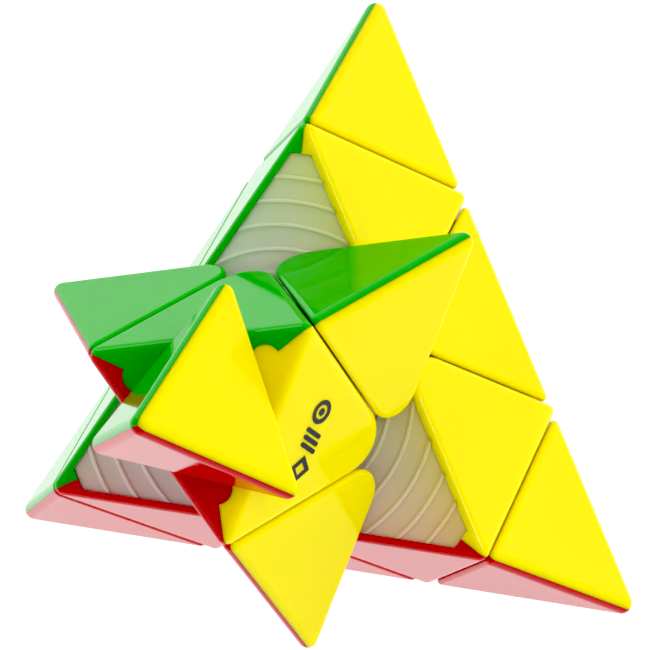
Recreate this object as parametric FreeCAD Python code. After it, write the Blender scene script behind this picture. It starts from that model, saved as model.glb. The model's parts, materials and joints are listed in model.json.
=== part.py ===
import FreeCAD, Part
import math
import os

from FreeCAD import Rotation, Vector

# Four-cornered twisty puzzle: a regular tetrahedron cut by four layer planes and four tip planes.
# Lengths are in millimetres. The origin is the middle of the core, where the four turning axes
# meet. +Z runs up the axis of the top corner, and the puzzle stands on the face opposite to it.

# Outer size and rounding
LENGTH_OVER_CORNERS = 98.0
RIDGE_ROUND = 1.6
TIP_SOFT_ROUND = 0.7
AXIAL_SOFT_ROUND = 1.3
EDGE_SOFT_ROUND = 0.7
AXIAL_CORNER_ROUND = 5.9
EDGE_CORNER_ROUND = 5.0

# How far the top layer and its tip stand turned from the closed shape, seen from above
TOP_LAYER_TURN = -46.1
TOP_TIP_TURN = -4.5

# Fits between pieces
PIECE_GAP = 0.2
SIDE = PIECE_GAP / 2
RUNNING = 0.08

# Coloured skins over the inner bodies
SKIN = 1.1
TOP_PLATE = 1.6
TIP_WALL = 1.6
TIP_FLOOR = 1.5
SKIN_CIRCLE = 34.5
TAB_MIDDLE = 11.05
TAB_ROUND = 2.3

# Concentric ribs on the sliding faces
RIB_PITCH = 3.47
RIB_WIDTH = 0.5
RIB_HEIGHT = 0.25
RIB_COUNT = 6
BODY_WALL = 2.0

# Core, feet and the hollow that the feet slide in
BALL = 10.8
FOOT_INNER = 11.2
FOOT_OUTER = 16.5
CANOPY = 16.8
DOME = 18.8
FOOT_ANGLE_INSIDE = 75.4
FOOT_ANGLE_OUTSIDE = 76.6
# The cones that bound a foot have their points this far apart, so that no two share a point.
CONE_SHIFT = 0.05
ARM_ROUND = 3.42
ARM_END = 15.6

# Stem of an axial piece, with its spring and screw, as distances along the axis
STEM_ROUND = 5.7
STEM_START = 11.1
SHELF_START = 15.9
SHELF_END = 17.8
SHAFT_HOLE = 1.7
SPRING_WELL = 3.6
UPPER_BORE = 4.2
LIP_START = 31.5
LIP_ROUND = 3.4

# Screw, washer and spring
SCREW_ROUND = 1.5
SCREW_START = 8.0
HEAD_START = 25.0
HEAD_HEIGHT = 2.0
HEAD_ROUND = 3.0
CROSS_WIDTH = 0.8
CROSS_LENGTH = 3.4
CROSS_DEPTH = 1.2
THREAD_PLAY = 0.02
WASHER_ROUND = 3.2
WASHER_THICK = 0.5
WIRE_ROUND = 0.3
COIL_ROUND = 2.3
COIL_TURNS = 5
SPRING_PLAY = 0.1

# Hub that snaps a tip onto its axial piece
HUB_ROUND = 6.0
PIN_ROUND = 3.33
FLANGE_ROUND = 7.0
FLANGE_THICK = 1.2
PIN_BORE = 2.2
PIN_START = 28.5
BARB_START = 29.8
BARB_END = 31.2
BARB_ROUND = 3.9
SLOT_WIDTH = 1.0
SLOT_END = 34.0

# Magnets behind the sliding faces
MAGNET_ROUND = 2.0
MAGNET_THICK = 1.5
MAGNET_RING = 3.2
MAGNET_PLAY = 0.05

# Web down the middle of an edge body
WEB_THICK = 1.4
EDGE_POCKET_START = 22.0

# Past every surface, for cutting tools, and how near two measures count as the same
REACH = 200.0
BEYOND = 1.0
NEAR = 0.01
OFFSET_TOLERANCE = 0.001

# The regular tetrahedron
EDGE_LENGTH = LENGTH_OVER_CORNERS + 2 * (math.sqrt(6) - 1) * RIDGE_ROUND
HEIGHT = EDGE_LENGTH * math.sqrt(2 / 3)
FACE_AT = HEIGHT / 4
LAYER_CUT = HEIGHT / 12
TIP_CUT = LAYER_CUT + HEIGHT / 3
MAGNET_AT = EDGE_LENGTH / 3 / math.sqrt(3)


def corner_axis(azimuth):
    """Unit vector to one of the three lower corners."""
    angle = math.radians(azimuth)
    out = math.sqrt(8) / 3
    return Vector(out * math.cos(angle), out * math.sin(angle), -1 / 3)


AXES = {
    "top": Vector(0, 0, 1),
    "rear": corner_axis(90),
    "right": corner_axis(-30),
    "left": corner_axis(210),
}
# Each face has the colour named here for the corner opposite to it.
COLOURS = {"left": "yellow", "right": "green", "rear": "red", "top": "blue"}
TOP, REAR, RIGHT, LEFT = AXES["top"], AXES["rear"], AXES["right"], AXES["left"]
# Where each colour of the top corner starts, as an azimuth. Each one is a third of a turn wide.
SECTOR_START = {"left": -30, "right": 90, "rear": 210}
SECTOR_WIDTH = 120
LOWER_PAIRS = ((REAR, RIGHT), (RIGHT, LEFT), (LEFT, REAR))


# Geometry helpers

def half_space(normal, distance):
    """Block that fills the side of a plane that its normal points away from."""
    block = Part.makeBox(2 * REACH, 2 * REACH, REACH, Vector(-REACH, -REACH, -REACH))
    turn = Rotation(TOP, normal)
    block.Placement = FreeCAD.Placement(normal * distance, turn)
    return block


def solid_inside(planes):
    """The convex solid inside a list of (outward normal, distance from the origin) planes."""
    shape = half_space(*planes[0])
    for plane in planes[1:]:
        shape = shape.common(half_space(*plane))
    return shape.Solids[0]


def rounded_wedge(first, second, distance, radius):
    """The space inside two planes at one distance, with their shared ridge rounded."""
    along = first.cross(second).normalize()
    middle = (first + second).normalize()
    centre = middle * ((distance - radius) / first.dot(middle))
    near = [centre + first * radius, centre + second * radius]
    far = [near[0] - along.cross(first) * REACH, near[1] + along.cross(second) * REACH]
    if (far[0] - near[0]).dot(middle) > 0:
        far = [near[0] + along.cross(first) * REACH, near[1] - along.cross(second) * REACH]
    outline = Part.Wire([
        Part.makeLine(far[0], near[0]),
        Part.Arc(near[0], centre + middle * radius, near[1]).toShape(),
        Part.makeLine(near[1], far[1]),
        Part.makeLine(far[1], far[0]),
    ])
    outline.translate(along * -REACH)
    return Part.Face(outline).extrude(along * 2 * REACH)


def rod(radius, start, end, axis=TOP):
    """Cylinder along an axis through the origin, between two distances from it."""
    return Part.makeCylinder(radius, end - start, axis * start, axis)


def tube(outer, inner, start, end, axis=TOP):
    """Rod with a hole down its middle."""
    return rod(outer, start, end, axis).cut(rod(inner, start, end, axis))


def ball(radius):
    return Part.makeSphere(radius)


def cone(axis, half_angle, shift):
    """Solid cone about an axis, with its point shifted a little along it from the origin."""
    length = 2 * FOOT_OUTER
    mouth = length * math.tan(math.radians(half_angle))
    return Part.makeCone(0, mouth, length, axis * shift, axis)


def joined(shapes):
    """One solid made from shapes that overlap or touch."""
    return shapes[0].fuse(list(shapes[1:])).removeSplitter()


def inset(planes, depth):
    """The convex solid inside a list of planes that are moved inwards by a depth."""
    return solid_inside([(normal, distance - depth) for normal, distance in planes])


def softened(shape, radius):
    """The shape grown by a radius, which rounds every outer edge and corner."""
    grown = shape.makeOffsetShape(radius, OFFSET_TOLERANCE, join=0)
    return grown.Solids[0]


def ridge_filleted(shape, pairs, depth):
    """The shape with a fillet where outer faces meet that lie a depth inside the final ones."""
    level = FACE_AT - depth
    edges = []
    for edge in shape.Edges:
        middle = edge.CenterOfMass
        for first, second in pairs:
            if abs(middle.dot(first) + level) < NEAR and abs(middle.dot(second) + level) < NEAR:
                edges.append(edge)
    return shape.makeFillet(RIDGE_ROUND - depth, edges)


def sector(start, low, high, tabbed=False):
    """Prism over one colour's third of a turn, with a round tab across each border if asked."""
    def border(azimuth):
        out = Rotation(TOP, azimuth).multVec(Vector(1, 0, 0))
        side = TOP.cross(out)
        if not tabbed:
            return [Part.makeLine(Vector(), out * REACH)]
        inner = out * (TAB_MIDDLE - TAB_ROUND)
        outer = out * (TAB_MIDDLE + TAB_ROUND)
        bulge = out * TAB_MIDDLE + side * TAB_ROUND
        return [
            Part.makeLine(Vector(), inner),
            Part.Arc(inner, bulge, outer).toShape(),
            Part.makeLine(outer, out * REACH),
        ]

    ends = [Rotation(TOP, start + turn).multVec(Vector(REACH, 0, 0)) for turn in (0, 60, 120)]
    sides = border(start) + border(start + SECTOR_WIDTH)
    rim = [Part.makeLine(ends[0], ends[1]), Part.makeLine(ends[1], ends[2])]
    outline = Part.Wire(Part.__sortEdges__(sides + rim))
    outline.translate(TOP * low)
    return Part.Face(outline).extrude(TOP * (high - low))


def turn_between(source, target):
    """The rotation that takes a pair of corner axes to another pair."""
    def basis(pair):
        up = AXES[pair[0]]
        toward = AXES[pair[1]]
        across = (toward - up * up.dot(toward)).normalize()
        return Rotation(across, up.cross(across), up, "ZXY")

    return basis(target) * basis(source).inverted()


def placed(shape, turn):
    copy = shape.copy()
    copy.rotate(Vector(), turn.Axis, math.degrees(turn.Angle))
    return copy


def corner_after(turn, corner):
    """The name of the corner that a rotation takes a corner to."""
    moved = turn.multVec(AXES[corner])
    return max(AXES, key=lambda name: AXES[name].dot(moved))


# Sliding faces: ribs and magnets

def ribs(axis, level):
    """Concentric ribs about a layer's axis, standing up to its sliding plane from one side."""
    rings = []
    for number in range(1, RIB_COUNT + 1):
        middle = SKIN_CIRCLE - number * RIB_PITCH
        outer = middle + RIB_WIDTH / 2
        rings.append(tube(outer, outer - RIB_WIDTH, level - BODY_WALL, level + BODY_WALL, axis))
    return rings


def with_ribs(block, axes, inside):
    """Sinks a block's sliding faces by a rib's height and leaves the ribs standing on them."""
    sunk = block
    rings = []
    for axis in axes:
        if inside:
            level = LAYER_CUT - SIDE
            sunk = sunk.common(half_space(axis, level - RIB_HEIGHT))
        else:
            level = LAYER_CUT + SIDE
            sunk = sunk.common(half_space(axis * -1, -level - RIB_HEIGHT))
        rings += [ring.common(block) for ring in ribs(axis, level)]
    return joined([sunk] + [ring for ring in rings if ring.Volume > NEAR])


def magnet_seat(axis, toward, inside, radius, start, end):
    """Rod behind a sliding face, between two depths below that face's sunk level."""
    spoke = (toward - axis * axis.dot(toward)).normalize() * MAGNET_AT
    sign = -1 if inside else 1
    level = LAYER_CUT + sign * (SIDE + RIB_HEIGHT)
    low, high = sorted((level + sign * start, level + sign * end))
    return Part.makeCylinder(radius, high - low, spoke + axis * low, axis)


def magnet(axis, toward, inside):
    start = BODY_WALL - RIB_HEIGHT
    return magnet_seat(axis, toward, inside, MAGNET_ROUND, start, start + MAGNET_THICK)


def magnet_ring(axis, toward, inside):
    start = BODY_WALL - RIB_HEIGHT
    outer = magnet_seat(axis, toward, inside, MAGNET_RING, start - SIDE, start + MAGNET_THICK)
    hole = magnet_seat(axis, toward, inside, MAGNET_ROUND + MAGNET_PLAY, start, start + MAGNET_THICK)
    return outer.cut(hole)


# The top tip: three coloured shells and a hub

def make_tip():
    base = TIP_CUT + SIDE
    inner = [(REAR * -1, FACE_AT), (RIGHT * -1, FACE_AT), (LEFT * -1, FACE_AT), (TOP * -1, -base)]
    core = ridge_filleted(inset(inner, TIP_SOFT_ROUND), LOWER_PAIRS, TIP_SOFT_ROUND)
    outside = softened(core, TIP_SOFT_ROUND)
    hollow = solid_inside([(normal, distance - TIP_WALL) for normal, distance in inner[:3]]
                          + [(TOP * -1, -base - TIP_FLOOR)])
    skin = outside.cut([hollow, rod(HUB_ROUND, base - BEYOND, base + TIP_FLOOR + BEYOND)])
    pieces = {}
    for corner, start in SECTOR_START.items():
        pieces[corner] = skin.common(sector(start, base - BEYOND, 3 * FACE_AT + BEYOND)).Solids[0]
    pieces["hub"] = make_hub(base)
    return pieces


def make_hub(base):
    """Disc, flange and slotted snap pin, turned in one profile and then slotted."""
    profile = [
        (PIN_BORE, PIN_START),
        (PIN_ROUND, PIN_START),
        (BARB_ROUND, BARB_START),
        (BARB_ROUND, BARB_END),
        (PIN_ROUND, BARB_END),
        (PIN_ROUND, base),
        (HUB_ROUND, base),
        (HUB_ROUND, base + TIP_FLOOR),
        (FLANGE_ROUND, base + TIP_FLOOR),
        (FLANGE_ROUND, base + TIP_FLOOR + FLANGE_THICK),
        (PIN_BORE, base + TIP_FLOOR + FLANGE_THICK),
    ]
    points = [Vector(radius, 0, level) for radius, level in profile]
    outline = Part.makePolygon(points + points[:1])
    hub = Part.Face(outline).revolve(Vector(), TOP, 360)
    for angle in (0, 90):
        slot = Part.makeBox(2 * HUB_ROUND, SLOT_WIDTH, SLOT_END - PIN_START + BEYOND,
                            Vector(-HUB_ROUND, -SLOT_WIDTH / 2, PIN_START - BEYOND))
        slot.rotate(Vector(), TOP, angle)
        hub = hub.cut(slot)
    return hub.Solids[0]


# The top axial piece: a body and three coloured caps

def make_axial():
    lower = [REAR, RIGHT, LEFT]
    outer = [(axis * -1, FACE_AT) for axis in lower]
    cuts = [(axis, LAYER_CUT - SIDE) for axis in lower]
    ends = [(TOP, TIP_CUT - SIDE), (TOP * -1, -LAYER_CUT - SIDE)]
    core = inset(outer + cuts + ends, AXIAL_SOFT_ROUND)
    for first, second in LOWER_PAIRS:
        wedge = rounded_wedge(first, second, LAYER_CUT - SIDE - AXIAL_SOFT_ROUND,
                              AXIAL_CORNER_ROUND - AXIAL_SOFT_ROUND)
        core = core.common(wedge)
    outside = softened(core.Solids[0], AXIAL_SOFT_ROUND)
    plate = TIP_CUT - SIDE - TOP_PLATE
    block = outside.common(solid_inside([(normal, distance - SKIN) for normal, distance in outer]
                                        + [(TOP, plate)]))
    for axis in lower:
        block = block.common(rod(SKIN_CIRCLE, -REACH, REACH, axis))
    skin = outside.cut([block, rod(UPPER_BORE, plate - BEYOND, TIP_CUT + BEYOND)])
    pieces = {}
    for corner, start in SECTOR_START.items():
        piece = joined([sector(start, 0, plate), sector(start, plate, TIP_CUT + BEYOND, True)])
        cap = skin.common(piece)
        pieces[corner] = max(cap.Solids, key=lambda solid: solid.Volume)
    pieces["body"] = make_axial_body(block, lower, outer, plate)
    return pieces


def make_axial_body(block, lower, outer, plate):
    pocket = solid_inside([(normal, distance - SKIN - BODY_WALL) for normal, distance in outer]
                          + [(axis, LAYER_CUT - SIDE - BODY_WALL) for axis in lower]
                          + [(TOP, plate + BEYOND), (TOP * -1, 0)])
    pocket = pocket.cut([ball(DOME), rod(STEM_ROUND, 0, plate + BEYOND)])
    body = with_ribs(block, lower, True).cut([ball(CANOPY), pocket])
    rings = [magnet_ring(axis, TOP, True) for axis in lower]
    body = joined([body, rod(STEM_ROUND, STEM_START, DOME)] + rings)
    bores = [
        rod(ARM_ROUND + RUNNING, STEM_START - BEYOND, SHELF_START),
        rod(SHAFT_HOLE, SHELF_START - BEYOND, SHELF_END + BEYOND),
        rod(SPRING_WELL, SHELF_END, HEAD_START),
        rod(UPPER_BORE, HEAD_START - WASHER_THICK, LIP_START),
        rod(LIP_ROUND, LIP_START - BEYOND, plate + BEYOND),
    ]
    for axis in lower:
        seat_start = BODY_WALL - RIB_HEIGHT
        bores.append(magnet_seat(axis, TOP, True, MAGNET_ROUND + MAGNET_PLAY,
                                 seat_start, seat_start + MAGNET_THICK))
    return max(body.cut(bores).Solids, key=lambda solid: solid.Volume)


# The edge piece between the top and rear corners: a body with its foot and two coloured shells

def make_edge():
    outer = [(RIGHT * -1, FACE_AT), (LEFT * -1, FACE_AT)]
    cuts = [(TOP * -1, -LAYER_CUT - SIDE), (REAR * -1, -LAYER_CUT - SIDE)]
    core = inset(outer + cuts, EDGE_SOFT_ROUND)
    core = core.common(rounded_wedge(TOP * -1, REAR * -1, -LAYER_CUT - SIDE - EDGE_SOFT_ROUND,
                                     EDGE_CORNER_ROUND - EDGE_SOFT_ROUND)).Solids[0]
    outside = softened(ridge_filleted(core, [(RIGHT, LEFT)], EDGE_SOFT_ROUND), EDGE_SOFT_ROUND)
    block = outside.common(solid_inside([(normal, distance - SKIN) for normal, distance in outer]
                                        + [(TOP, REACH / 2), (REAR, REACH / 2)]))
    for axis in (TOP, REAR):
        block = block.common(rod(SKIN_CIRCLE, -REACH, REACH, axis))
    skin = outside.cut(block)
    across = (RIGHT - LEFT).normalize()
    pieces = {
        "left": skin.common(half_space(across * -1, 0)).Solids[0],
        "right": skin.common(half_space(across, 0)).Solids[0],
        "body": make_edge_body(block, outer, cuts, across),
    }
    return pieces


def make_edge_body(block, outer, cuts, across):
    middle = (TOP + REAR).normalize()
    pocket = solid_inside([(normal, distance + SKIN) for normal, distance in outer]
                          + [(normal, distance - BODY_WALL) for normal, distance in cuts]
                          + [(middle * -1, -EDGE_POCKET_START)])
    web = solid_inside([(across, WEB_THICK / 2), (across * -1, WEB_THICK / 2),
                        (middle, REACH / 2), (middle * -1, 0), (TOP - REAR, REACH / 2),
                        (REAR - TOP, REACH / 2)])
    foot = ball(FOOT_OUTER).cut(ball(FOOT_INNER))
    for axis, shift in ((TOP, CONE_SHIFT), (REAR, 2 * CONE_SHIFT)):
        foot = foot.common(cone(axis, FOOT_ANGLE_INSIDE, shift))
    for axis, shift in ((RIGHT, -CONE_SHIFT), (LEFT, -2 * CONE_SHIFT)):
        foot = foot.cut(cone(axis, FOOT_ANGLE_OUTSIDE, shift))
    body = with_ribs(block, (TOP, REAR), False).cut(pocket.cut(web))
    pairs = ((TOP, REAR), (REAR, TOP))
    rings = [magnet_ring(axis, toward, False).common(block) for axis, toward in pairs]
    body = joined([body, foot] + rings)
    seat_start = BODY_WALL - RIB_HEIGHT
    for axis, toward in pairs:
        body = body.cut(magnet_seat(axis, toward, False, MAGNET_ROUND + MAGNET_PLAY,
                                    seat_start, seat_start + MAGNET_THICK))
    return max(body.Solids, key=lambda solid: solid.Volume)


# Core and hardware

def make_core():
    core = ball(BALL)
    for axis in AXES.values():
        core = core.fuse(rod(ARM_ROUND, 0, ARM_END, axis))
    for axis in AXES.values():
        core = core.cut(rod(SCREW_ROUND + THREAD_PLAY, SCREW_START - BEYOND, ARM_END + BEYOND, axis))
    return core.removeSplitter().Solids[0]


def make_screw():
    """Pan-head screw with a cross recess, on the top axis."""
    top = HEAD_START + HEAD_HEIGHT
    head = rod(HEAD_ROUND, HEAD_START, top)
    rim = [edge for edge in head.Edges if edge.CenterOfMass.z > top - NEAR]
    head = head.makeFillet(HEAD_HEIGHT / 2, rim)
    screw = joined([head, rod(SCREW_ROUND, SCREW_START, HEAD_START)])
    for angle in (0, 90):
        bar = Part.makeBox(CROSS_LENGTH, CROSS_WIDTH, CROSS_DEPTH + BEYOND,
                           Vector(-CROSS_LENGTH / 2, -CROSS_WIDTH / 2, top - CROSS_DEPTH))
        bar.rotate(Vector(), TOP, angle)
        screw = screw.cut(bar)
    return screw.Solids[0]


def make_washer():
    return tube(WASHER_ROUND, SHAFT_HOLE, HEAD_START - WASHER_THICK, HEAD_START)


def make_spring():
    """Coil spring between the shelf and the washer, on the top axis."""
    low = SHELF_END + SPRING_PLAY + WIRE_ROUND
    high = HEAD_START - WASHER_THICK - SPRING_PLAY - WIRE_ROUND
    helix = Part.makeHelix((high - low) / COIL_TURNS, high - low, COIL_ROUND)
    section = Part.Wire(Part.makeCircle(WIRE_ROUND, Vector(COIL_ROUND, 0, 0), Vector(0, 1, 0)))
    coil = Part.Wire(helix).makePipeShell([section], True, True)
    coil.translate(TOP * low)
    return coil.Solids[0]


# Whole puzzle

TURN_OF_LAYER = Rotation(TOP, TOP_LAYER_TURN)
TURN_OF_TIP = Rotation(TOP, TOP_TIP_TURN)
# Each corner takes the top corner's pieces by a half turn that swaps the other two corners.
SWAPS = {
    "top": ("top", "rear"),
    "rear": ("rear", "top"),
    "right": ("right", "left"),
    "left": ("left", "right"),
}
EDGES = (("top", "rear"), ("top", "right"), ("top", "left"),
         ("rear", "right"), ("right", "left"), ("left", "rear"))


def add_piece(nodes, name, pieces, kind, turn, pose):
    """Adds a piece's parts. Each coloured one is named by the colour of the face that it is on."""
    for corner in COLOURS:
        if corner in pieces:
            colour = COLOURS[corner_after(turn, corner)]
            nodes[f"{name}_{colour}_{kind}"] = placed(pieces[corner], pose * turn)
    for part in ("body", "hub"):
        if part in pieces:
            nodes[f"{name}_{part}"] = placed(pieces[part], pose * turn)


def build():
    nodes = {}
    tip, axial, edge = make_tip(), make_axial(), make_edge()
    still = Rotation()
    loose = {"screws": make_screw(), "washers": make_washer(), "springs": make_spring()}
    hardware = {name: [] for name in loose}
    magnets = {"magnets_base": [], "magnets_top_layer": []}
    for corner, pair in SWAPS.items():
        turn = turn_between(("top", "rear"), pair)
        on_top = corner == "top"
        tip_turn = TURN_OF_TIP if on_top else still
        layer_turn = TURN_OF_LAYER if on_top else still
        add_piece(nodes, f"tip_{corner}", tip, "shell", turn, tip_turn)
        add_piece(nodes, f"axial_{corner}", axial, "cap", turn, layer_turn)
        for name, shape in loose.items():
            hardware[name].append(placed(shape, turn))
        group = magnets["magnets_top_layer" if on_top else "magnets_base"]
        for axis in (REAR, RIGHT, LEFT):
            group.append(placed(magnet(axis, TOP, True), layer_turn * turn))
    for pair in EDGES:
        turn = turn_between(("top", "rear"), pair)
        on_top = "top" in pair
        layer_turn = TURN_OF_LAYER if on_top else still
        add_piece(nodes, f"edge_{pair[0]}_{pair[1]}", edge, "shell", turn, layer_turn)
        group = magnets["magnets_top_layer" if on_top else "magnets_base"]
        for axis, toward in ((TOP, REAR), (REAR, TOP)):
            group.append(placed(magnet(axis, toward, False), layer_turn * turn))
    nodes["core"] = make_core()
    for name, solids in {**hardware, **magnets}.items():
        nodes[name] = Part.makeCompound(solids)
    return nodes


def main():
    os.makedirs("parts", exist_ok=True)
    for name, shape in build().items():
        shape.exportStep(f"parts/{name}.step")


main()
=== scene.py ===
import json
import math

import bmesh
import bpy
from mathutils import Matrix, Vector


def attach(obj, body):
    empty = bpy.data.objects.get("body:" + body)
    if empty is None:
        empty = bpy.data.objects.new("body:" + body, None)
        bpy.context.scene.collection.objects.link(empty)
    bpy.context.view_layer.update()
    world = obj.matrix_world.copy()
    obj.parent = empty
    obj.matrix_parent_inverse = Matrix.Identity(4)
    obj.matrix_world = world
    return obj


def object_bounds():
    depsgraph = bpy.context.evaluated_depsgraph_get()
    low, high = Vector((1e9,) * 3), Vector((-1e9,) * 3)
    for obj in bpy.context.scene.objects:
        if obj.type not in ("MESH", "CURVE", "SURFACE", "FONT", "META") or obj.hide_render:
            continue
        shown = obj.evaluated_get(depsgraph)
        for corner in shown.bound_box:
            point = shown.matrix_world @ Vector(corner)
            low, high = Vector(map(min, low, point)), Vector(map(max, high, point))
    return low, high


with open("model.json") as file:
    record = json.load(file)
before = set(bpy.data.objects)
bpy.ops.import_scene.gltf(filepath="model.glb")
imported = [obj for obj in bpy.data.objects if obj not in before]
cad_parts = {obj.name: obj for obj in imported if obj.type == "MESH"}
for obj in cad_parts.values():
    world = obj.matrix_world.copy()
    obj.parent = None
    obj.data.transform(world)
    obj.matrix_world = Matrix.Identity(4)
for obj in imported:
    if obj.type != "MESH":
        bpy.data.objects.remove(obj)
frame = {"nodes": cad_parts, "record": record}
cad_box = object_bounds()

MM = 0.001

# Camera: where it looks from, in degrees, how far away it is and the point it looks at
VIEW_AZIMUTH = 18.50
VIEW_ELEVATION = 69.65
VIEW_ROLL = -101.68
VIEW_DISTANCE = 581.9 * MM
VIEW_AIM = Vector((3.0, 9.4, -2.2)) * MM
SENSOR = 36.0
LENS = 220.65

# Soft boxes: direction in degrees, width and height in metres, power in watts
KEY_LIGHT = {"azimuth": 26, "elevation": 40, "width": 0.5, "height": 0.5, "power": 3.2}
SIDE_LIGHT = {"azimuth": 128, "elevation": 18, "width": 0.3, "height": 0.5, "power": 1.1}
FILL_LIGHT = {"azimuth": 205, "elevation": 48, "width": 0.8, "height": 0.8, "power": 2.4}
LIGHT_DISTANCE = 1.2

# Light tent: strength of its walls and of its roof, and the heights between which it fades
WALL_GLOW = 1.7
ROOF_GLOW = 0.50
FADE_LOW = 0.10
FADE_HIGH = 0.55

# Floor
FLOOR_REACH = 4.0
FLOOR_GLOW = 0.80
FLOOR_GREY = (0.5, 0.5, 0.5)
FLOOR_ROUGHNESS = 0.55
FLOOR_DROP = 0.05 * MM      # a hair under the bottom face, so that the two never share a plane

BLACK_POINT = 0.045

# Plastic, metal and ink colours, in linear light
YELLOW = (0.95, 0.77, 0.002)
GREEN = (0.004, 0.43, 0.002)
RED = (0.56, 0.005, 0.008)
BLUE = (0.008, 0.080, 0.56)
MILK = (0.73, 0.73, 0.74)
CORE_WHITE = (0.80, 0.80, 0.77)
INK = (0.014, 0.016, 0.018)
STEEL = (0.56, 0.57, 0.58)
NICKEL = (0.66, 0.64, 0.60)
WHITE = (1.0, 1.0, 1.0, 1.0)

# Each colour varies between itself and itself times one of these
YELLOW_FLOW = 0.975
DEEP_FLOW = 0.94
MILK_CLOUD = 0.95
METAL_CLOUD = 0.8
INK_CLOUD = 1.5
FLOOR_CLOUD = 0.98

# Surface patterns: how fine their noise is, as its scale over a metre
GLOSS_FLOW_MARKS = 60.0
GLOSS_SCUFFS = 700.0
GLOSS_VEILS = 35.0
GLOSS_WAVES = 75.0
GLOSS_GRAIN = 5000.0
MILK_CLOUDS = 90.0
MILK_PATCHES = 300.0
MILK_GRAIN = 500.0
METAL_CLOUDS = 400.0
METAL_PATCHES = 1500.0
METAL_GRAIN = 3000.0
INK_CLOUDS = 900.0
INK_PATCHES = 2200.0
FLOOR_CLOUDS = 3.0

# The span of noise values that a pattern uses
NOISE_MOST = (0.3, 0.7)
NOISE_MIDDLE = (0.35, 0.65)
NOISE_PEAKS = (0.60, 0.85)

# Roughness, from the smoothest to the roughest part. Scuffs add to the veil's.
GLOSS_VEIL = (0.07, 0.10)
GLOSS_SCUFF = (0.0, 0.08)
MILK_SATIN = (0.50, 0.60)
INK_SATIN = (0.22, 0.36)
METAL_SPREAD = 1.6

# Optical properties of the plastics
GLOSS_IOR = 1.5
MILK_IOR = 1.49
SPECULAR_LEVEL = 0.30
GLOSS_SCATTER = 0.8
MILK_SCATTER = 0.9
SCATTER_DEPTH = 2.0 * MM

# Painted coloured bounce light: how the light from the coloured skins tints the milky plastic behind
# them, and how far in that reaches
PAINTED_BOUNCE_TINT = {
    "yellow": (1.0, 0.94, 0.26),
    "green": (0.86, 1.0, 0.76),
    "red": (1.0, 0.68, 0.66),
    "blue": (0.66, 0.76, 1.0),
}
PAINTED_BOUNCE_REACH = 8.0 * MM
# Painted highlight: how much lighter the ribs are painted
RIB_HIGHLIGHT_LIFT = 1.05

# The core's centre is the origin, and the bottom face lies FACE_AT below it. Each layer is cut off
# at LAYER_CUT along its corner's axis. RIB_TOP and RIB_FOOT are how far from the cut the painted
# highlight on the ribs starts to fade out and where it ends.
FACE_AT = -cad_box[0][2]
LAYER_CUT = FACE_AT / 3
RIB_TOP = 0.12 * MM
RIB_FOOT = 0.33 * MM

# Where the corners point. Each face has the colour that OPPOSITE gives for the corner opposite it.
OPPOSITE = {"top": "blue", "rear": "red", "right": "green", "left": "yellow"}
AZIMUTH = {"rear": 90.0, "right": -30.0, "left": 210.0}
CORNER_DROP = math.degrees(math.asin(1 / 3))
TOP_LAYER_TURN = -46.1

# The mark on the top corner's yellow cap, which spans twelve units
MARK_SPAN = 12.0 * MM
MARK_UNIT = MARK_SPAN / 12
MARK_THICK = 0.02 * MM
MARK_LIFT = 0.005 * MM
RING_AT = 4.4 * MARK_UNIT
RING_OUTER = 1.85 * MARK_UNIT
RING_INNER = 1.1 * MARK_UNIT
RING_SIDES = 48
DOT_OUTER = 0.6 * MARK_UNIT
DOT_INNER = 0.05 * MARK_UNIT
DOT_SIDES = 24
BAR_COUNT = 3
BAR_FIRST_AT = -1.1
BAR_PITCH = 1.15
BAR_LEAN = 0.5 * MARK_UNIT
BAR_REACH = 1.5 * MARK_UNIT
BAR_WIDTH = 0.72 * MARK_UNIT
BAR_END_STEPS = 8
DIAMOND_AT = -4.3 * MARK_UNIT
DIAMOND_OUTER = 2.1 * MARK_UNIT
DIAMOND_INNER = 1.0 * MARK_UNIT


def direction(azimuth, elevation):
    """Unit vector that points to an azimuth and an elevation, both in degrees."""
    a, e = math.radians(azimuth), math.radians(elevation)
    return Vector((math.cos(e) * math.cos(a), math.cos(e) * math.sin(a), math.sin(e)))


def corner_axes(turn):
    """Unit vectors to the four corners, with the lower three turned about the top one."""
    axes = {"top": Vector((0, 0, 1))}
    for corner, azimuth in AZIMUTH.items():
        axes[corner] = direction(azimuth + turn, -CORNER_DROP)
    return axes


def shade(colour, factor):
    return tuple(channel * factor for channel in colour)


def show(name, data):
    """A new object in the scene."""
    piece = bpy.data.objects.new(name, data)
    bpy.context.collection.objects.link(piece)
    return piece


# Materials

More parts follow.
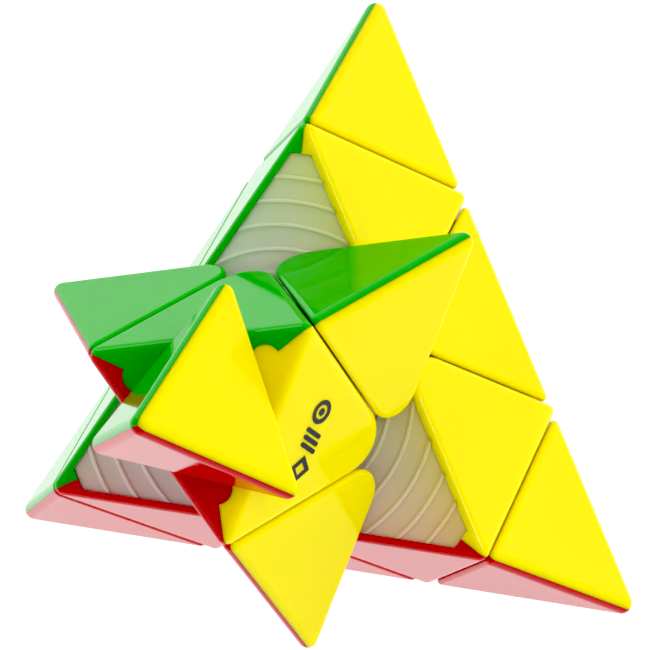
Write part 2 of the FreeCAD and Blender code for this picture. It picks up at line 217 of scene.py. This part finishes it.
class Shader:
    """A new material with its Principled shader, and short ways to add and join nodes."""

    def __init__(self, name):
        self.material = bpy.data.materials.new(name)
        self.material.use_nodes = True
        self.tree = self.material.node_tree
        self.main = self.tree.nodes["Principled BSDF"]
        self.place = self.add("ShaderNodeTexCoord").outputs["Object"]

    def add(self, kind, **inputs):
        node = self.tree.nodes.new(kind)
        for name, value in inputs.items():
            self.set(node, name.replace("_", " "), value)
        return node

    def set(self, node, name, value):
        if isinstance(value, bpy.types.NodeSocket):
            self.tree.links.new(value, node.inputs[name])
        else:
            node.inputs[name].default_value = value

    def finish(self, **inputs):
        """Sets the Principled shader's inputs and returns the material."""
        for name, value in inputs.items():
            self.set(self.main, name.replace("_", " "), value)
        return self.material

    def noise(self, scale, detail=2.0, roughness=0.5):
        node = self.add("ShaderNodeTexNoise", Vector=self.place, Scale=scale, Detail=detail,
                        Roughness=roughness)
        return node.outputs["Fac"]

    def ramp(self, value, span, result=(0.0, 1.0)):
        """Maps a span of a value onto a result."""
        node = self.add("ShaderNodeMapRange", Value=value, From_Min=span[0], From_Max=span[1],
                        To_Min=result[0], To_Max=result[1])
        return node.outputs["Result"]

    def mix(self, factor, first, second):
        node = self.add("ShaderNodeMix")
        node.data_type = "RGBA"
        self.set(node, 0, factor)
        self.set(node, 6, (*first, 1.0))
        self.set(node, 7, (*second, 1.0))
        return node.outputs[2]

    def tinted(self, colour, factor, tint):
        """A colour multiplied by a tint, as much as a factor says."""
        node = self.add("ShaderNodeMix")
        node.data_type = "RGBA"
        node.blend_type = "MULTIPLY"
        self.set(node, 0, factor)
        self.set(node, 6, colour)
        self.set(node, 7, (*tint, 1.0))
        return node.outputs[2]

    def math(self, operation, first, second=0.0):
        node = self.add("ShaderNodeMath")
        node.operation = operation
        self.set(node, 0, first)
        self.set(node, 1, second)
        return node.outputs[0]

    def along(self, axis):
        """How far a point is from the origin along an axis."""
        node = self.add("ShaderNodeVectorMath")
        node.operation = "DOT_PRODUCT"
        self.set(node, 0, self.place)
        self.set(node, 1, axis)
        return node.outputs["Value"]

    def bump(self, height, strength, depth, under=None):
        node = self.add("ShaderNodeBump", Strength=strength, Distance=depth, Height=height)
        if under is not None:
            self.set(node, "Normal", under)
        return node.outputs["Normal"]


def scatter(s, weight, ior):
    """Light goes a short way into the plastic and comes out again."""
    s.set(s.main, "Subsurface Weight", weight)
    s.set(s.main, "Subsurface Radius", (1.0, 1.0, 1.0))
    s.set(s.main, "Subsurface Scale", SCATTER_DEPTH)
    s.set(s.main, "IOR", ior)
    s.set(s.main, "Specular IOR Level", SPECULAR_LEVEL)


def gloss_plastic(name, colour, flow):
    """Polished moulded plastic, coloured through: soft waves, faint flow marks and fine scuffs."""
    s = Shader(name)
    streaks = s.ramp(s.noise(GLOSS_FLOW_MARKS, detail=3.0), NOISE_MIDDLE)
    scuffs = s.ramp(s.noise(GLOSS_SCUFFS, detail=5.0, roughness=0.6), NOISE_PEAKS, GLOSS_SCUFF)
    veil = s.ramp(s.noise(GLOSS_VEILS), NOISE_MOST, GLOSS_VEIL)
    waves = s.bump(s.noise(GLOSS_WAVES, detail=1.0), strength=0.10, depth=0.02 * MM)
    grain = s.bump(s.noise(GLOSS_GRAIN), strength=0.06, depth=0.003 * MM, under=waves)
    scatter(s, GLOSS_SCATTER, GLOSS_IOR)
    return s.finish(Base_Color=s.mix(streaks, colour, shade(colour, flow)),
                    Roughness=s.math("ADD", scuffs, veil), Normal=grain)


def milky_plastic(name, colour, turn=0.0):
    """Cloudy plastic with a satin skin, with painted coloured bounce light from the coloured skins
    around it and a painted highlight on the ribs.
    """
    s = Shader(name)
    cloud = s.ramp(s.noise(MILK_CLOUDS, detail=3.0), NOISE_MOST)
    tone = s.mix(cloud, colour, shade(colour, MILK_CLOUD))
    rib_highlight = None
    for corner, axis in corner_axes(turn).items():
        reach = s.along(axis)
        # Painted coloured bounce light from the coloured skin facing this corner, fading with distance
        # from that face
        depth = s.math("ADD", reach, FACE_AT)
        painted_bounce = s.math("EXPONENT", s.math("DIVIDE", depth, -PAINTED_BOUNCE_REACH))
        tone = s.tinted(tone, painted_bounce, PAINTED_BOUNCE_TINT[OPPOSITE[corner]])
        # Painted highlight on the ribs, lighter close to the layer cut
        off_plane = s.math("ABSOLUTE", s.math("SUBTRACT", reach, LAYER_CUT))
        near_rib_highlight = s.ramp(off_plane, (RIB_TOP, RIB_FOOT), (1.0, 0.0))
        rib_highlight = near_rib_highlight if rib_highlight is None else s.math("MAXIMUM", rib_highlight, near_rib_highlight)
    scatter(s, MILK_SCATTER, MILK_IOR)
    # The milky colour, with the painted highlight on the ribs
    return s.finish(Base_Color=s.tinted(tone, rib_highlight, (RIB_HIGHLIGHT_LIFT,) * 3),
                    Roughness=s.ramp(s.noise(MILK_PATCHES, detail=3.0), NOISE_MOST, MILK_SATIN),
                    Normal=s.bump(s.noise(MILK_GRAIN, detail=1.0), strength=0.05, depth=0.01 * MM))


def metal(name, colour, rough):
    """Plated metal with a cloudy tone and a fine grain."""
    s = Shader(name)
    tone = s.mix(s.noise(METAL_CLOUDS, detail=3.0), colour, shade(colour, METAL_CLOUD))
    satin = (rough, rough * METAL_SPREAD)
    return s.finish(Base_Color=tone, Metallic=1.0,
                    Roughness=s.ramp(s.noise(METAL_PATCHES, detail=4.0), NOISE_MOST, satin),
                    Normal=s.bump(s.noise(METAL_GRAIN), strength=0.1, depth=0.005 * MM))


def printed_ink(name):
    s = Shader(name)
    tone = s.mix(s.noise(INK_CLOUDS, detail=4.0), INK, shade(INK, INK_CLOUD))
    return s.finish(Base_Color=tone,
                    Roughness=s.ramp(s.noise(INK_PATCHES, detail=4.0), NOISE_MOST, INK_SATIN))


def studio_white(name):
    s = Shader(name)
    tone = s.mix(s.noise(FLOOR_CLOUDS), FLOOR_GREY, shade(FLOOR_GREY, FLOOR_CLOUD))
    return s.finish(Base_Color=tone, Roughness=FLOOR_ROUGHNESS, Emission_Color=WHITE,
                    Emission_Strength=FLOOR_GLOW)


# Each CAD node takes the first of these whose word is in its name
MATERIALS = {
    "yellow": gloss_plastic("yellow_plastic", YELLOW, YELLOW_FLOW),
    "green": gloss_plastic("green_plastic", GREEN, DEEP_FLOW),
    "red": gloss_plastic("red_plastic", RED, DEEP_FLOW),
    "blue": gloss_plastic("blue_plastic", BLUE, DEEP_FLOW),
    "body": milky_plastic("milky_plastic", MILK),
    "hub": milky_plastic("hub_plastic", MILK),
    "core": milky_plastic("core_plastic", CORE_WHITE),
    "screws": metal("screw_steel", STEEL, rough=0.28),
    "washers": metal("washer_steel", STEEL, rough=0.34),
    "springs": metal("spring_steel", STEEL, rough=0.2),
    "magnets": metal("magnet_nickel", NICKEL, rough=0.12),
}
TURNED_MILK = milky_plastic("milky_plastic_turned", MILK, TOP_LAYER_TURN)


def finish_nodes():
    """Gives each CAD node its material. The milky pieces of the top layer have the turned one."""
    top_layer = frame["record"]["behaviour"]["bodies"]["top_layer"]
    for name, piece in frame["nodes"].items():
        words = name.split("_")
        material = next(MATERIALS[word] for word in MATERIALS if word in words)
        if "body" in words and name in top_layer:
            material = TURNED_MILK
        piece.data.materials.clear()
        piece.data.materials.append(material)


# The mark on the top corner: generic shapes, printed thin

def outer_face(piece):
    """The outward normal and the middle of a piece's largest flat area that faces away from the core."""
    groups = {}
    for face in piece.data.polygons:
        if face.normal.dot(face.center) > 0:
            key = tuple(round(part, 2) for part in face.normal)
            groups.setdefault(key, []).append(face)
    best = max(groups.values(), key=lambda faces: sum(face.area for face in faces))
    area = sum(face.area for face in best)
    normal = sum((face.normal * face.area for face in best), Vector()).normalized()
    middle = sum((face.center * face.area for face in best), Vector()) / area
    return normal, middle


def flat_ring(bm, x, outer, inner, sides):
    """A flat ring of any number of sides."""
    loops = []
    for radius in (outer, inner):
        loop = []
        for index in range(sides):
            angle = math.tau * index / sides
            spot = (x + radius * math.cos(angle), radius * math.sin(angle), 0)
            loop.append(bm.verts.new(spot))
        loops.append(loop)
    for index in range(sides):
        after = (index + 1) % sides
        bm.faces.new((loops[0][index], loops[0][after], loops[1][after], loops[1][index]))


def flat_bar(bm, start, end, width):
    """A flat bar with round ends."""
    start, end = Vector(start), Vector(end)
    along = (end - start).normalized()
    across = Vector((-along.y, along.x))
    points = []
    for middle, sign in ((end, 1), (start, -1)):
        for index in range(BAR_END_STEPS + 1):
            angle = math.pi * index / BAR_END_STEPS - math.pi / 2
            out = along * math.cos(angle) * sign + across * math.sin(angle) * sign
            points.append(middle + out * width / 2)
    bm.faces.new([bm.verts.new((point.x, point.y, 0)) for point in points])


def mark_shapes(bm):
    """Ring with a dot, slanted bars and a diamond in a row, flat."""
    flat_ring(bm, RING_AT, RING_OUTER, RING_INNER, RING_SIDES)
    flat_ring(bm, RING_AT, DOT_OUTER, DOT_INNER, DOT_SIDES)
    for index in range(BAR_COUNT):
        x = (BAR_FIRST_AT + BAR_PITCH * index) * MARK_UNIT
        flat_bar(bm, (x - BAR_LEAN, -BAR_REACH), (x + BAR_LEAN, BAR_REACH), BAR_WIDTH)
    flat_ring(bm, DIAMOND_AT, DIAMOND_OUTER, DIAMOND_INNER, 4)


def printed_mark():
    """The mark, raised by the thickness of the print, across the middle of the top yellow cap."""
    normal, middle = outer_face(frame["nodes"]["axial_top_yellow_cap"])
    up = (Vector((0, 0, 1)) - normal * normal.z).normalized()
    side = up.cross(normal)
    bm = bmesh.new()
    mark_shapes(bm)
    bmesh.ops.recalc_face_normals(bm, faces=bm.faces)
    made = bmesh.ops.extrude_face_region(bm, geom=bm.faces[:])
    raised = [item for item in made["geom"] if isinstance(item, bmesh.types.BMVert)]
    bmesh.ops.translate(bm, verts=raised, vec=(0, 0, MARK_THICK))
    bmesh.ops.recalc_face_normals(bm, faces=bm.faces)
    onto_face = Matrix((side, up, normal)).transposed().to_4x4()
    onto_face.translation = middle + normal * MARK_LIFT
    bm.transform(onto_face)
    mesh = bpy.data.meshes.new("printed_mark")
    bm.to_mesh(mesh)
    bm.free()
    mesh.materials.append(printed_ink("dark_ink"))
    mark = show("printed_mark", mesh)
    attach(mark, "top_layer")


# Studio

def floor():
    mesh = bpy.data.meshes.new("floor")
    low = cad_box[0][2] - FLOOR_DROP
    corners = ((-1, -1), (1, -1), (1, 1), (-1, 1))
    spots = [(x * FLOOR_REACH, y * FLOOR_REACH, low) for x, y in corners]
    mesh.from_pydata(spots, [], [(0, 1, 2, 3)])
    mesh.materials.append(studio_white("floor_white"))
    piece = show("floor", mesh)


def soft_light(name, azimuth, elevation, width, height, power):
    """Rectangular soft box that faces the puzzle."""
    data = bpy.data.lights.new(name, "AREA")
    data.shape = "RECTANGLE"
    data.size = width
    data.size_y = height
    data.energy = power
    lamp = show(name, data)
    away = direction(azimuth, elevation)
    lamp.location = away * LIGHT_DISTANCE
    lamp.rotation_euler = away.to_track_quat("Z", "Y").to_euler()


def light_tent():
    """Bright walls that fade to a dimmer roof."""
    tent = bpy.data.worlds.new("studio")
    tent.use_nodes = True
    tree = tent.node_tree
    background = tree.nodes["Background"]
    background.inputs["Color"].default_value = WHITE
    place = tree.nodes.new("ShaderNodeTexCoord")
    split = tree.nodes.new("ShaderNodeSeparateXYZ")
    fade = tree.nodes.new("ShaderNodeMapRange")
    for name, value in (("From Min", FADE_LOW), ("From Max", FADE_HIGH),
                        ("To Min", WALL_GLOW), ("To Max", ROOF_GLOW)):
        fade.inputs[name].default_value = value
    tree.links.new(place.outputs["Generated"], split.inputs[0])
    tree.links.new(split.outputs["Z"], fade.inputs["Value"])
    tree.links.new(fade.outputs["Result"], background.inputs["Strength"])
    bpy.context.scene.world = tent


def camera():
    back = direction(VIEW_AZIMUTH, VIEW_ELEVATION)
    level = (-back).cross(Vector((0, 0, 1))).normalized()
    upright = level.cross(-back)
    roll = math.radians(VIEW_ROLL)
    right = level * math.cos(roll) + upright * math.sin(roll)
    up = back.cross(right)
    data = bpy.data.cameras.new("camera")
    data.sensor_width = SENSOR
    data.lens = LENS
    piece = show("camera", data)
    matrix = Matrix((right, up, back)).transposed().to_4x4()
    matrix.translation = VIEW_AIM + back * VIEW_DISTANCE
    piece.matrix_world = matrix
    bpy.context.scene.camera = piece


def picture_look():
    """Plain colours with a firm black point, as a product picture has."""
    settings = bpy.context.scene.view_settings
    settings.view_transform = "Standard"
    settings.use_curve_mapping = True
    settings.curve_mapping.black_level = (BLACK_POINT,) * 3
    settings.curve_mapping.update()


finish_nodes()
printed_mark()
floor()
light_tent()
soft_light("key", **KEY_LIGHT)
soft_light("side", **SIDE_LIGHT)
soft_light("fill", **FILL_LIGHT)
camera()
picture_look()
